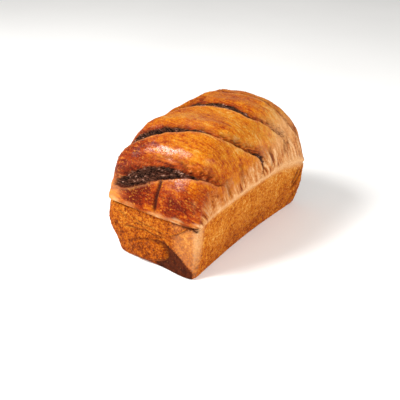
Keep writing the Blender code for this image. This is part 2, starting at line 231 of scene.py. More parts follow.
# Broad pushes: (centre mm, radii mm, move mm)
PUSHES = (
    ((-61, -108, 40), (20, 50, 24), (-10.8, -1.2, 0)),
    ((-60, -108, 90), (16, 26, 24), (-1.4, -0.4, 0)),
    ((59, 0, 4), (20, 84, 22), (-4.6, 0, 0)),
    ((57, -114, 2), (16, 14, 16), (2.4, -3.4, 0)),
    ((36, -119, 2), (20, 14, 14), (0, -3.6, 0)),
    ((0, -119, 4), (50, 14, 14), (0, -1.2, 0)),
    ((60, 112, 34), (24, 30, 34), (4.0, 6.0, 0)),
    ((-46, -48, 150), (30, 50, 30), (1.2, 0, -2.4)),
    ((48, 96, 132), (30, 30, 30), (-1.2, -1.2, -0.8)),
    ((0, 119, 34), (40, 14, 24), (0, -1.2, 0)),
)

# Slow unevenness: (size mm, height mm) on the crown and on the tin walls
CROWN_SWELL = ((42.0, 1.6), (17.0, 0.7))
WALL_SWELL = ((55.0, 0.9), (14.0, 0.35))

# Uneven fields: (size mm, or a size for each axis, octaves, shift that sets the field apart)
LIP_WOBBLE_FIELD = (11.0, 2, 7.3)
DARK_RAGGED_FIELD = ((14.0, 3.5, 3.5), 2, 3.1)
FIELDS = {
    "ragged": ((26.0, 17.0, 22.0), 3, 1.7),
    "ripple": (9.0, 2, 3.3),
    "pores": (2.8, 1, 1.1),
    "end_shred": ((3.6, 20.0, 16.0), 2, 2.7),
    "strands": ((18.0, 2.8, 2.8), 3, 2.2),
    "crumb": ((12.0, 2.7, 2.7), 3, 4.4),
    "crumb_pits": ((3.0, 2.4, 2.4), 2, 8.1),
    "wall_grain": ((2.6, 2.6, 3.6), 2, 6.6),
    "wall_pits": ((3.4, 3.4, 5.0), 2, 0.4),
    "patchy": (26.0, 2, 4.8),
    "mottled": ((15.0, 9.0, 15.0), 2, 6.1),
}
SLANTING_FIELDS = {
    "shred": ((34.0, 9.0, 36.0), 3, 5.9),
    "fine_shred": ((22.0, 3.2, 19.0), 3, 9.2),
    "stretch": ((17.0, 3.4, 14.0), 2, 7.9),
}
RIDGE_FIELDS = {
    "creases": ((12.0, 12.0, 6.0), 2, 5.1),
    "tears": ((26.0, 5.0, 5.0), 2, 2.6),
}
RIDGE_SHARPNESS = 3.2
SHRED_SLANT = 0.45
WALL_PITS_FROM = 0.12

# Height of the fine relief, mm, and its shares where it is calmer
RIPPLE_H = 0.45
PORES_H = 0.16
PORES_ON_FLANK = 0.5
STRETCH_H = 0.46
SHRED_H = 0.50
FINE_SHRED_H = 0.34
END_SHRED_H = 0.22
STRANDS_H = 0.84
TEARS_H = 0.9
CRUMB_H = 1.4
CRUMB_PITS_H = 0.8
WALL_GRAIN_H = 0.36
WALL_PITS_H = 0.45
CREASES_H = 0.30
CALM_CORNER = 0.8
CALM_RIM = 0.6

# Pale stretched flank of the crown, mm above the rim: its ragged top climbs toward the far end,
# and a narrow fringe runs on over the ends
FLANK_TOP = 34.0
FLANK_TOP_FAR = 38.0
FLANK_SPAN = (-60.0, 90.0)
FLANK_RAGGED = 20.0
FLANK_FADE = 34.0
FRINGE_TOP = 9.0
FRINGE_RAGGED = 5.0
FRINGE_FADE = 8.0

# Pale band along the rim of the long sides, mm: wider at the far end, fainter at the near one
RIM_BAND = 3.0
RIM_BAND_FAR = 5.0
RIM_BAND_SPAN = (10.0, 110.0)
RIM_NEAR_SHARE = 0.4
RIM_NEAR_SPAN = (-110.0, -30.0)

# Pale near corner and the smooth dough beside it on the end, mm
CORNER_EDGE_AT = (62.5, -116.5)
CORNER_EDGE_RADIUS = 11.0
CORNER_DOUGH_SPAN = (22.0, 36.0)
CORNER_DOUGH_FADE = 6.0

# Where the crown's skin is stretched, mm from the middle line
STRETCH_SPAN = (6.0, 36.0)

# Where lumps start to lie, mm above the rim for blisters and strands and above the floor for bumps
BLISTERS_FROM = (6.0, 26.0)
STRANDS_FROM = (4.0, 8.0)
BUMPS_FROM = (6.0, 12.0)

# Browning of the skin, from pale dough 0 to dark 1, with painted shade in the valleys and along the crack,
# and soft spots of more or less of it, a few of them lightening it as painted sheen: (centre mm, radii mm,
# change)
BROWN_CROWN = 0.52
BROWN_WALL_TOP = 0.42
BROWN_WALL_LOW = 0.66
BROWN_END = 0.15
VALLEY_BROWNING_AND_SHADE = 0.26
CRACK_SHADE_TONE = 0.14
BROWN_PITS = 0.38
BROWN_PITS_END = 0.12
BROWN_PAD = 0.05
BROWN_CORNER = -0.04
BROWN_STRETCH = -0.16
BROWN_PATCHY = 0.09
BROWN_MOTTLED = 0.10
SHEEN_AND_BROWNING_SPOTS = (
    ((-26, -117, 92), (30, 18, 24), 0.60),
    ((38, -114, 82), (28, 20, 20), 0.52),
    ((52, -108, 104), (18, 22, 18), 0.12),
    ((-46, -100, 124), (20, 26, 24), 0.26),
    ((-28, -100, 138), (18, 18, 14), 0.32),
    ((-40, -72, 142), (22, 22, 18), 0.10),
    ((29, -86, 153), (18, 14, 12), -0.12),
    ((58, -84, 122), (16, 18, 18), 0.10),
    ((36, -66, 140), (26, 16, 16), -0.03),
    ((-12, -46, 160), (34, 16, 14), -0.16),
    ((34, 0, 152), (40, 34, 26), -0.08),
    ((-6, 2, 166), (36, 18, 14), -0.10),
    ((-10, 32, 164), (30, 18, 18), 0.08),
    # Painted sheen along the crown's far right edge
    ((62, 64, 122), (22, 44, 34), -0.34),
    ((56, -24, 138), (20, 52, 24), -0.18),
    # Painted sheen on the crown's near left corner over the rim
    ((-56, -114, 78), (13, 18, 14), -0.40),
    ((-30, -119, 30), (24, 12, 14), 0.08),
    ((24, -119, 53), (16, 12, 10), 0.14),
    ((64, -84, 46), (14, 26, 24), -0.08),
    ((62, 104, 40), (12, 22, 26), 0.12),
    # More painted sheen on the crown's far right edge
    ((44, 62, 142), (20, 28, 16), -0.12),
    # Darker at the crown's left edge just over the rim
    ((-54, -104, 108), (12, 16, 12), 0.24),
    ((42, -119, 48), (20, 12, 20), -0.16),
    ((60, 8, 12), (12, 22, 9), 0.16),
)

# Thin stretched skin, paler than the rest, as shares and as spots, with a painted highlight on the lips
# and painted
# sheen at two of the spots: (centre mm, radii mm, share)
PALE_CORNER_EDGE = 0.75
PALE_CORNER = 0.2
PAINTED_LIP_HIGHLIGHT = 0.18
PALE_AND_SHEEN_SPOTS = (
    # Painted sheen along the crown's far right edge
    ((61, 62, 126), (16, 34, 24), 0.50),
    ((66, 88, 84), (12, 26, 14), 0.30),
    # Painted sheen on the crown's near left corner
    ((-54, -115, 86), (10, 14, 14), 0.30),
)

# Gloss of the wash over the crown, and spots where it lies thicker: (centre mm, radii mm, change)
GLOSS_CROWN = 0.26
GLOSS_SPOTS = (
    ((25, -115, 113), (14, 12, 16), 0.74),
    ((8, -102, 140), (18, 14, 9), 0.74),
    ((12, -47, 162), (22, 12, 9), 0.72),
    ((-30, -94, 142), (20, 20, 16), -0.26),
)

# Share of painted shade in the narrow fold behind each lip, and of dark colour in the tears of the torn
# skin, with the ridge values from none to full
CREVICE_SHADE = 0.92
TEAR_TONE = 0.8
TEAR_SPAN = (0.45, 0.85)

# Tones that pick a colour, each a middle value and the weight of its fields
STREAK_TONE = (0.52, 0.75, 0.4)
STRAND_TONE = (0.5, 0.8)
CRUMB_TONE = (0.44, 0.75, 0.45)

# How far the skin must face up to carry the full gloss of the wash: from none to full
GLOSS_TURN = (-0.1, 0.6)

# Mesh fineness; the rows of the crown follow the slashes and crowd together at their lips
LIP_ROWS = (-0.78, -0.40, -0.02, 0.34)
LIP_ROW_BAND = 0.035
LIP_BAND = 2.2
RIM_CROWDING = 1.25
CELLS_W = 184
CELLS_L = 256
CELLS_H = 43
UNDERSIDE_RINGS = (0.97, 0.90, 0.80)
CURVE_STEPS = 4001
NUDGE = 1e-9

# Kinds of surface
CROWN = 2
WALL = 1
UNDERSIDE = 0


def smooth(t):
    t = np.clip(t, 0.0, 1.0)
    return t * t * (3.0 - 2.0 * t)


def ramp(value, span):
    return smooth((value - span[0]) / (span[1] - span[0]))


def bell(value, half):
    """Soft hump that is 1 where the value is 0."""
    return np.exp(-(value / half) ** 2)


def rim_height(x, y):
    s = x / RIM_HALF_W
    t = y / RIM_HALF_L
    far = RIM_DROP_FAR * np.clip(s, 0, 1) * np.clip(t, 0, 1) ** 2
    return RIM_Z + RIM_ARCH * (1 - np.abs(t) ** RIM_ARCH_POW) - far


def over_rim(points):
    return points[:, 2] - rim_height(points[:, 0], points[:, 1])


def plan_point(u, v, half_w, half_l):
    """Place in plan of a square point, with the corners of the outline drawn in."""
    across = np.sin(0.5 * math.pi * u)
    along = np.sin(0.5 * math.pi * v)
    pull = CORNER_PULL * np.abs(across) ** CORNER_POW_W * np.abs(along) ** CORNER_POW_L
    x = half_w * across - np.sign(u) * pull
    y = half_l * along - np.sign(v) * pull
    return x, y


def crown_point(u, v):
    x, y = plan_point(u, v, RIM_HALF_W, RIM_HALF_L)
    rise_w = 1 - np.abs(np.sin(0.5 * math.pi * u)) ** CROWN_POW_W
    rise_l = 1 - np.abs(np.sin(0.5 * math.pi * v)) ** CROWN_POW_L
    over = CROWN_H * np.maximum(rise_w * rise_l, 0) ** (1 / CROWN_POW)
    z = rim_height(x, y) + over
    lean = np.where((u > 0) & (v < 0), LEAN_NEAR, LEAN_OTHER) * smooth(over / LEAN_RISE)
    lean = lean * (1 - rise_w) ** (LEAN_POW_W / CROWN_POW_W) * (1 - rise_l) ** (LEAN_POW_L / CROWN_POW_L)
    return np.stack([x - np.sign(u) * lean, y - np.sign(v) * lean, z], -1)


def crown_step(u, v):
    """Move over the crown for a small step along the loaf."""
    return crown_point(u, v + SLANT_STEP) - crown_point(u, v - SLANT_STEP)


def wall_point(u, v, share):
    """Point of the tin wall; share is 0 at the underside and 1 at the rim."""
    turn = 0.5 * math.pi * np.clip(share / BASE_ROUND_SHARE, 0, 1)
    inset = BASE_ROUND * (1 - np.sin(turn))
    low_x, low_y = plan_point(u, v, BASE_HALF_W - inset, BASE_HALF_L - inset)
    high_x, high_y = plan_point(u, v, RIM_HALF_W, RIM_HALF_L)
    climb = np.clip((share - BASE_ROUND_SHARE) / (1 - BASE_ROUND_SHARE), 0, 1)
    x = low_x + (high_x - low_x) * climb
    y = low_y + (high_y - low_y) * climb
    top = rim_height(high_x, high_y)
    z = BASE_ROUND * (1 - np.cos(turn)) + (top - BASE_ROUND) * climb
    return np.stack([x, y, z], -1)


def underside_point(u, v):
    x, y = plan_point(u, v, BASE_HALF_W - BASE_ROUND, BASE_HALF_L - BASE_ROUND)
    return np.stack([x, y, np.zeros_like(x)], -1)


def spline(rows):
    """Smooth curve through rows of numbers."""
    rows = np.asarray(rows, float)
    ends = np.concatenate([2 * rows[:1] - rows[1:2], rows, 2 * rows[-1:] - rows[-2:-1]])
    t = np.linspace(0, 1, SPLINE_STEPS, endpoint=False)[:, None]
    out = []
    for a, b, c, d in zip(ends[:-3], ends[1:-2], ends[2:-1], ends[3:]):
        bend = (2 * a - 5 * b + 4 * c - d) * t ** 2 + (3 * b - a - 3 * c + d) * t ** 3
        out.append(0.5 * (2 * b + (c - a) * t + bend))
    out.append(rows[-1:])
    return np.concatenate(out)


def unit(vectors):
    return vectors / np.maximum(np.linalg.norm(vectors, axis=-1, keepdims=True), NUDGE)


def grain(points, size, octaves, shift):
    """Uneven field of about -1..1 over points in mm; size is one number or one for each axis."""
    places = points / np.array(size, float) + shift
    return np.array([noise.fractal(Vector(place), 1.0, 2.0, octaves) for place in places])


def ridges(points, size, octaves, shift):
    """Field of 0..1 that is 1 on thin winding ridges."""
    return 1 - np.clip(np.abs(grain(points, size, octaves, shift)) * RIDGE_SHARPNESS, 0, 1)


def slash_line(stations):
    """Stations close together, mm per along value square to the slash, and its sine to Y."""
    rows = spline(stations)
    across, along = rows[:, 0], rows[:, 1]
    line = crown_point(across, along)
    step = crown_step(across, along)
    tangent = unit(np.gradient(line, axis=0))
    slant = np.linalg.norm(np.cross(step, tangent), axis=1) / (2 * SLANT_STEP)
    stretch = np.linalg.norm(step, axis=1) / (2 * SLANT_STEP)
    wobble = LIP_WOBBLE * grain(line, *LIP_WOBBLE_FIELD)
    rows[:, 1] += wobble / slant
    return rows, slant, slant / stretch


def slash_lift(u, v, points, stations, lip_fade):
    """One slash at crown points: height to add, curl of the lip, and its masks."""
    rows, _, sine = slash_line(stations)
    middle, width, depth, lip, dark_width, sine = (
        np.interp(u, rows[:, 0], column) for column in (*rows.T[1:], sine))
    width = np.maximum(width, NARROWEST)
    chord = np.linalg.norm(points - crown_point(u, middle), axis=1)
    across = np.sign(v - middle) * chord * sine
    beyond = np.maximum(np.maximum(rows[0, 0] - u, u - rows[-1, 0]), 0) * RIM_HALF_W
    drop = smooth(across / LIP_RUN)
    rise = (1 - FAR_SHARE) * smooth((across - FLOOR_SHARE * width) / ((1 - FLOOR_SHARE) * width))
    rise += FAR_SHARE * smooth((across - width) / FAR_RUN)
    lift = -depth * drop * (1 - rise)
    lift += lip * bell(across, lip_fade) * (1 - drop)
    shoulder = bell(across - width - SHOULDER_OFFSET, SHOULDER_HALF)
    lift += SHOULDER_H * smooth(depth / SHOULDER_FULL_DEPTH) * shoulder
    within = bell(beyond, SLASH_END_FADE)
    curl = LIP_CURL * np.clip(lip / LIP_CURL_FULL, 0, 1) * bell(across, LIP_CURL_FADE)
    ragged = DARK_RAGGED * grain(points, *DARK_RAGGED_FIELD)
    dark = smooth(across / DARK_START) * smooth((dark_width - across + ragged) / DARK_EDGE + 0.5)
    torn = smooth(across / TORN_START) * smooth((width + TORN_RUN - across) / TORN_RUN)
    past_crumb = np.maximum(across - dark_width, 0)
    share = smooth(depth / MASKS_FULL_DEPTH) * within
    masks = {
        "dark": dark * smooth(dark_width / DARK_FULL_WIDTH) * within,
        "torn": torn * share,
        # Painted highlight along the lip's edge
        "lip": bell(across - LIP_HIGHLIGHT_AT, LIP_HIGHLIGHT_HALF) * share,
        # Browned valley past the crumb, darkened further as painted shade
        "valley": smooth(across) * bell(past_crumb, VALLEY_RUN) * share,
        # Painted shade in the narrow fold just behind the lip
        "fold_shade_behind_lip": bell(across - CREVICE_AT, CREVICE_HALF) * share,
    }
    return lift * within, curl * (1 - drop) * within, masks


def lay_rows(u, v):
    """Along values that put a row of the mesh on each lip, with close rows beside it."""
    rows_laid = [(-1.0, -1.0)]
    for row, stations in zip(LIP_ROWS, SLASHES):
        rows, slant, _ = slash_line(stations)
        middle = np.interp(u, rows[:, 0], rows[:, 1])
        band = LIP_BAND / np.interp(u, rows[:, 0], slant)
        rows_laid += [(row + side * LIP_ROW_BAND, middle + side * band) for side in (-1, 0, 1)]
    rows_laid.append((1.0, 1.0))
    laid = v.copy()
    for (low, low_to), (high, high_to) in zip(rows_laid[:-1], rows_laid[1:]):
        share = (v - low) / (high - low)
        laid = np.where((v > low) & (v <= high), low_to + (high_to - low_to) * share, laid)
    return laid


def groove_share(points, groove):
    """How much of a narrow groove laid near the surface each point has, 0..1."""
    path, _, half = groove
    line = spline(path)
    tree = kdtree.KDTree(len(line))
    for index, place in enumerate(line):
        tree.insert(place, index)
    tree.balance()
    out = np.zeros(len(points))
    near = np.all((points > line.min(0) - GROOVE_REACH) & (points < line.max(0) + GROOVE_REACH), 1)
    found = [tree.find(place)[1:] for place in points[near]]
    index = np.array([item[0] for item in found])
    gap = np.array([item[1] for item in found])
    share = index / (len(line) - 1)
    taper = smooth(share / GROOVE_END_SHARE) * smooth((1 - share) / GROOVE_END_SHARE)
    out[near] = taper * bell(np.maximum(gap - half, 0), half)
    return out


def pad_edge(x, z):
    """Distance outward from the edge of the dough pad."""
    tilt = math.radians(PAD_TILT_DEG)
    dx = x - PAD_CENTRE[0]
    dz = z - PAD_CENTRE[1]
    a = np.abs(dx * math.cos(tilt) + dz * math.sin(tilt)) / PAD_HALF[0]
    b = np.abs(dz * math.cos(tilt) - dx * math.sin(tilt)) / PAD_HALF[1]
    return ((a ** PAD_POW + b ** PAD_POW) ** (1 / PAD_POW) - 1) * PAD_HALF[1]


def patch_edge(x, z):
    """Distance outward from the edge of the dark patch, roughly."""
    run = np.clip((x - PATCH_APEX) / PATCH_RUN, 0, 1)
    top = PATCH_TOP * (1 - run ** PATCH_POW)
    return np.maximum(np.maximum(z - top, PATCH_LEFT - x), PATCH_EDGE - pad_edge(x, z))


def ledge_share(x, z):
    """Step of the overlapping skin and the line of painted shade along its edge, each as 0..1."""
    ledge = np.array(LEDGE)
    above = z - np.interp(x, ledge[:, 0], ledge[:, 1])
    start = smooth((x - ledge[0, 0]) / LEDGE_START)
    step = start * smooth(above + LEDGE_SOFT) * np.exp(-np.maximum(above, 0) / LEDGE_FADE)
    return step, start * bell(above, LEDGE_LINE)


def crack_share(points, outward):
    """How much of the crack under the crown each point has, strong toward the corners."""
    end = ramp(np.abs(outward[:, 1]), END_TURN_CROWN)
    toward_corner = smooth((np.abs(points[:, 0]) - CRACK_CALM_X) / CRACK_CALM_FADE)
    calm = CRACK_CALM + (1 - CRACK_CALM) * toward_corner
    return end * calm * bell(over_rim(points), CRACK_HALF)


def rim_lift(points, outward):
    """Outward push of the crown just over the rim, and the crack below it at the ends."""
    over = over_rim(points)
    end = ramp(np.abs(outward[:, 1]), END_TURN_CROWN)
    stand = OVERHANG_SIDE + (OVERHANG_END - OVERHANG_SIDE) * end
    bulge = stand * smooth(over / OVERHANG_RISE) * np.exp(-np.maximum(over, 0) / OVERHANG_FADE)
    return bulge - CRACK_DEPTH_END * crack_share(points, outward)


def swell(points, scales):
    out = np.zeros(len(points))
    for size, height in scales:
        out += height * np.array([noise.noise(Vector(place) / size) for place in points])
    return out


def spots(points, table, start=0.0):
    """Start plus soft spots over points, each as (centre mm, radii mm, amount or move)."""
    total = start
    for centre, radii, amount in table:
        gap = (points - np.array(centre)) / np.array(radii)
        total = total + np.multiply.outer(np.exp(-(gap ** 2).sum(1)), amount)
    return total


def vertex_normals(points, quads):
    diagonal_a = points[quads[:, 2]] - points[quads[:, 0]]
    diagonal_b = points[quads[:, 3]] - points[quads[:, 1]]
    face = np.cross(diagonal_a, diagonal_b)
    normals = np.zeros_like(points)
    for corner in range(4):
        np.add.at(normals, quads[:, corner], face)
    return unit(normals)


def even_values(curve, cells):
    """Values from -1 to 1 that step evenly along a curve."""
    fine = np.linspace(-1, 1, CURVE_STEPS)
    gaps = np.linalg.norm(np.diff(curve(fine), axis=0), axis=1)
    length = np.concatenate([[0.0], np.cumsum(gaps)])
    return np.interp(np.linspace(0, length[-1], cells + 1), length, fine)


def loaf_grid():
    """Square places (u, v), share, kind and quads of the whole loaf, and its last ring.

    The walls also get their share of the height, from 0 at the underside to 1 at the rim.
    """
    u_row = even_values(lambda t: crown_point(t, np.zeros_like(t)), CELLS_W)
    v_row = even_values(lambda t: crown_point(np.zeros_like(t), t), CELLS_L)
    v_grid, u_grid = np.meshgrid(v_row, u_row, indexing="ij")
    u, v = u_grid.ravel(), v_grid.ravel()
    index = np.arange(len(u)).reshape(CELLS_L + 1, CELLS_W + 1)
    quads = [np.stack([index[:-1, :-1], index[:-1, 1:], index[1:, 1:], index[1:, :-1]], -1)
             .reshape(-1, 4)]
    border = np.concatenate([index[0, :-1], index[:-1, -1], index[-1, :0:-1], index[:0:-1, 0]])
    kinds = [np.full(len(u), CROWN)]
    shares = [np.ones(len(u))]
    us, vs = [u], [v]
    ring_size = len(border)
    upper = border
    start = len(u)
    rings = [(1.0, share, WALL) for share in np.arange(CELLS_H - 1, -1, -1) / CELLS_H]
    rings += [(scale, 0.0, UNDERSIDE) for scale in UNDERSIDE_RINGS]
    for scale, share, kind in rings:
        ring = start + np.arange(ring_size)
        us.append(u[border] * scale)
        vs.append(v[border] * scale)
        shares.append(np.full(ring_size, share))
        kinds.append(np.full(ring_size, kind))
        quads.append(np.stack([ring, np.roll(ring, -1), np.roll(upper, -1), upper], -1))
        upper = ring
        start += ring_size
    parts = (np.concatenate(item) for item in (us, vs, shares, kinds, quads))
    return (*parts, upper[::-1])


def loaf_form(u, v, share, kind, quads):
    """Base form, points before the fine relief, way outward, normals and masks; all in mm."""
    top, wall, bottom = kind == CROWN, kind == WALL, kind == UNDERSIDE
    v = v + (lay_rows(u, v) - v) * share
    share = np.where(wall, 1 - (1 - share) ** RIM_CROWDING, share)
    base = np.zeros((len(u), 3))
    base[top] = crown_point(u[top], v[top])
    base[wall] = wall_point(u[wall], v[wall], share[wall])
    base[bottom] = underside_point(u[bottom], v[bottom])
    normal = vertex_normals(base, quads)
    outward = normal.copy()
    outward[:, 2] = 0
    outward = unit(outward)
    masks = {name: np.zeros(len(u)) for name in ("dark", "torn", "lip", "valley", "fold_shade_behind_lip")}
    painted_shades = []
    lift = np.zeros(len(u))
    curl = np.zeros(len(u))
    crown = base[top]
    for stations, fade in zip(SLASHES, LIP_FADES):
        height, bend, found = slash_lift(u[top], v[top], crown, stations, fade)
        lift[top] += height
        curl[top] += bend
        for name, value in found.items():
            masks[name][top] = np.maximum(masks[name][top], value)
    for grooves, darkness in GROOVES:
        for groove in grooves:
            amount = groove_share(base, groove)
            lift -= groove[1] * amount
            painted_shades.append(darkness * amount)
    low_fade = smooth(base[:, 2] / BASE_ROUND)
    x, z = base[:, 0], base[:, 2]
    facing = ramp(-outward[:, 1], TURN_WALL) * wall
    masks["pad"] = facing * smooth(0.5 - pad_edge(x, z) / PAD_EDGE)
    masks["patch"] = facing * smooth(0.5 - patch_edge(x, z) / PATCH_EDGE)
    end_lift = PAD_H * masks["pad"] - PATCH_RECESS * masks["patch"]
    step, under_step = ledge_share(x, z)
    end_lift += LEDGE_H * step * facing
    lift += end_lift * low_fade
    lift[top] += swell(crown, CROWN_SWELL)
    lift[wall] += swell(base[wall], WALL_SWELL)
    lift *= low_fade
    points = base + normal * lift[:, None]
    points[top] += unit(crown_step(u[top], v[top])) * curl[top][:, None]
    points += outward * (rim_lift(base, outward) * ~bottom)[:, None]
    points[bottom, 2] = 0
    masks["crack"] = crack_share(base, outward) * ~bottom
    # Deep painted shade in the crack, only toward the corners
    corners = smooth((np.abs(x) - CRACK_SHADE_X) / CRACK_SHADE_FADE)
    painted_shades.append(CRACK_SHADE * masks["crack"] ** 2 * corners)
    # Painted shade along the pad's edge, fainter below it
    rim_of_pad = bell(pad_edge(x, z) - PAD_CONTOUR, PAD_CONTOUR)
    above = smooth((z - PAD_CENTRE[1]) / PAD_HALF[1] * 2)
    contour = PAD_CONTOUR_BELOW + (1 - PAD_CONTOUR_BELOW) * above
    contour *= PAD_CONTOUR_SHADE * facing * rim_of_pad
    # The painted shade of the pad's edge and under the ledge joins the rest
    painted_shades += [contour, LEDGE_SHADE * facing * under_step]
    # All the painted shade of folds, crack, pad edge and ledge in one mask
    masks["painted_shade_and_tears"] = np.max(painted_shades, axis=0)
    return base, spots(points, PUSHES, points), outward, normal, masks


def uneven_fields(base):
    """All the uneven fields over the loaf by name."""
    slanting = base + np.outer(base[:, 2], (0.0, SHRED_SLANT, 0.0))
    fields = {name: grain(base, *pattern) for name, pattern in FIELDS.items()}
    fields.update({name: grain(slanting, *pattern) for name, pattern in SLANTING_FIELDS.items()})
    fields.update({name: ridges(base, *pattern) for name, pattern in RIDGE_FIELDS.items()})
    fields["wall_pits"] = np.clip(fields["wall_pits"] - WALL_PITS_FROM, 0, 1)
    return fields


def skin_shares(base, outward, normal, kind, masks, ragged):
    """How much of each sort of skin each point has, 0..1."""
    top, wall, bottom = kind == CROWN, kind == WALL, kind == UNDERSIDE
    x, y, z = base.T
    over = over_rim(base)
    side = ramp(np.abs(normal[:, 0]), SIDE_TURN_CROWN) * top
    end = ramp(np.abs(outward[:, 1]), END_TURN_CROWN) * ramp(np.abs(normal[:, 1]), END_STEEP_CROWN)
    flank_top = FLANK_TOP + FLANK_TOP_FAR * ramp(y, FLANK_SPAN) + FLANK_RAGGED * ragged
    fringe = smooth((FRINGE_TOP + FRINGE_RAGGED * ragged - over) / FRINGE_FADE) * end * top
    flank = np.maximum(smooth((flank_top - over) / FLANK_FADE) * side, fringe)

    band = RIM_BAND + RIM_BAND_FAR * ramp(y, RIM_BAND_SPAN)
    rim = bell(over - 0.5 * band, band) * ramp(np.abs(outward[:, 0]), TURN_WALL)
    rim *= (1 - bottom) * (RIM_NEAR_SHARE + (1 - RIM_NEAR_SHARE) * ramp(y, RIM_NEAR_SPAN))

    edge_gap = np.hypot(x - CORNER_EDGE_AT[0], y - CORNER_EDGE_AT[1])
    patch_top = PATCH_TOP * (1 - np.clip((x - PATCH_APEX) / PATCH_RUN, 0, 1))
    corner = ramp(x, CORNER_DOUGH_SPAN) * smooth((z - patch_top) / CORNER_DOUGH_FADE)
    corner *= wall * ramp(-outward[:, 1], TURN_WALL) * (1 - ledge_share(x, z)[0])

    skin = top * (1 - flank) * (1 - masks["torn"])
    calm = 1 - CALM_CORNER * np.maximum(corner, masks["patch"])
    light = 1 - masks["dark"]
    rough_wall = wall * calm * (1 - CALM_RIM * rim)
    return {
        "skin": skin,
        "light_skin": skin * light,
        "stretched": skin * ramp(np.abs(x), STRETCH_SPAN),
        "torn": masks["torn"] * light,
        "flank": flank,
        "side_flank": flank * side * (1 - rim),
        "fringe": fringe,
        "rim": rim,
        "corner": corner,
        "corner_edge": smooth(1 - edge_gap / CORNER_EDGE_RADIUS) * wall,
        "end_wall": wall * ramp(np.abs(outward[:, 1]), TURN_WALL),
        "calm": calm,
        "rough_wall": rough_wall,
        "blister_share": skin * light * ramp(over, BLISTERS_FROM),
        "strand_share": flank * side * (1 - rim) * light * ramp(over, STRANDS_FROM),
        "bump_share": rough_wall * (1 - masks["painted_shade_and_tears"]) * ramp(z, BUMPS_FROM),
    }


def fine_relief(base, shares, fields, masks):
    """Height of the fine relief in mm."""
    lift = shares["skin"] * RIPPLE_H * fields["ripple"]
    lift += (shares["skin"] + PORES_ON_FLANK * shares["flank"]) * PORES_H * fields["pores"]
    lift += shares["stretched"] * STRETCH_H * fields["stretch"]
    lift += shares["side_flank"] * (SHRED_H * fields["shred"] + FINE_SHRED_H * fields["fine_shred"])
    lift += shares["fringe"] * END_SHRED_H * fields["end_shred"]
    lift += shares["torn"] * (STRANDS_H * fields["strands"] - TEARS_H * fields["tears"])
    lift += masks["dark"] * (CRUMB_H * fields["crumb"] + CRUMB_PITS_H * fields["crumb_pits"])
    lift += shares["rough_wall"] * (
        WALL_GRAIN_H * fields["wall_grain"] - WALL_PITS_H * fields["wall_pits"])
    lift -= CREASES_H * fields["creases"] * shares["calm"] * shares["end_wall"]
    return lift * smooth(base[:, 2] / BASE_ROUND)


def skin_brown_tone_and_painted_light(base, kind, shares, fields, masks):
    """How brown the skin is, from pale dough 0 to dark 1, with painted shade and painted sheen mixed in.
    """
    top, wall = kind == CROWN, kind == WALL
    climb = np.clip(base[:, 2] / np.maximum(rim_height(base[:, 0], base[:, 1]), 1), 0, 1)
    on_wall = BROWN_WALL_LOW + (BROWN_WALL_TOP - BROWN_WALL_LOW) * climb
    brown_tone_and_painted_light = np.where(top, BROWN_CROWN, on_wall)
    brown_tone_and_painted_light += BROWN_END * shares["end_wall"] + spots(base, SHEEN_AND_BROWNING_SPOTS)
    brown_tone_and_painted_light += BROWN_PATCHY * fields["patchy"] + BROWN_MOTTLED * top * fields["mottled"]
    # Browning and painted shade in the valleys past the slashes, and painted shade along the crack under
    # the crown
    brown_tone_and_painted_light += VALLEY_BROWNING_AND_SHADE * masks["valley"] * top + CRACK_SHADE_TONE * masks["crack"]
    in_pits = BROWN_PITS + (BROWN_PITS_END - BROWN_PITS) * shares["end_wall"]
    brown_tone_and_painted_light += in_pits * fields["wall_pits"] * wall
    brown_tone_and_painted_light += BROWN_PAD * masks["pad"] + BROWN_CORNER * shares["corner"]
    brown_tone_and_painted_light += BROWN_STRETCH * shares["stretched"] * fields["stretch"]
    return brown_tone_and_painted_light


def crust_masks(base, normal, kind, shares, fields, masks):
    """The masks that the crust material and the lumps read from the mesh, by name."""
    dark = masks["dark"]
    # Pale rim and corner dough, then a painted highlight along the lips and painted sheen from the spots
    # on the crown
    pale = shares["rim"] + PALE_CORNER_EDGE * shares["corner_edge"] + PALE_CORNER * shares["corner"]
    pale = np.maximum(np.clip(pale, 0, 1), PAINTED_LIP_HIGHLIGHT * masks["lip"] * (1 - dark))
    pale = np.maximum(pale, spots(base, PALE_AND_SHEEN_SPOTS) * (kind == CROWN))
    wash = np.clip(GLOSS_CROWN + spots(base, GLOSS_SPOTS), 0, 1)
    tear = TEAR_TONE * shares["torn"] * ramp(fields["tears"], TEAR_SPAN)
    streak, fine_streak, wide_streak = STREAK_TONE
    crumb_middle, crumb_weight, pit_weight = CRUMB_TONE
    return {
        "brown_tone_and_painted_light": skin_brown_tone_and_painted_light(base, kind, shares, fields, masks),
        "fleck_share": shares["light_skin"],
        "flank": shares["flank"] * (1 - dark),
        "streak": streak + fine_streak * fields["fine_shred"] + wide_streak * fields["shred"],
        "pale": pale,
        "torn": shares["torn"] * (1 - shares["flank"]),
        "strand": STRAND_TONE[0] + STRAND_TONE[1] * fields["strands"],
        "dark": np.maximum(dark, masks["patch"]),
        "crumb": dark,
        "crumb_tone": crumb_middle + crumb_weight * fields["crumb"] + pit_weight * fields["crumb_pits"],
        # Painted shade of folds, cracks, edges and the fold behind each lip, with the dark tears of the
        # torn skin
        "painted_shade_and_tears": np.maximum(np.maximum(masks["painted_shade_and_tears"], CREVICE_SHADE * masks["fold_shade_behind_lip"]), tear),
        "gloss": shares["light_skin"] * ramp(normal[:, 2], GLOSS_TURN) * wash,
        "wall": (kind != CROWN).astype(float),
        "blister_share": shares["blister_share"],
        "strand_share": shares["strand_share"],
        "nub_share": dark,
        "bump_share": shares["bump_share"],
    }


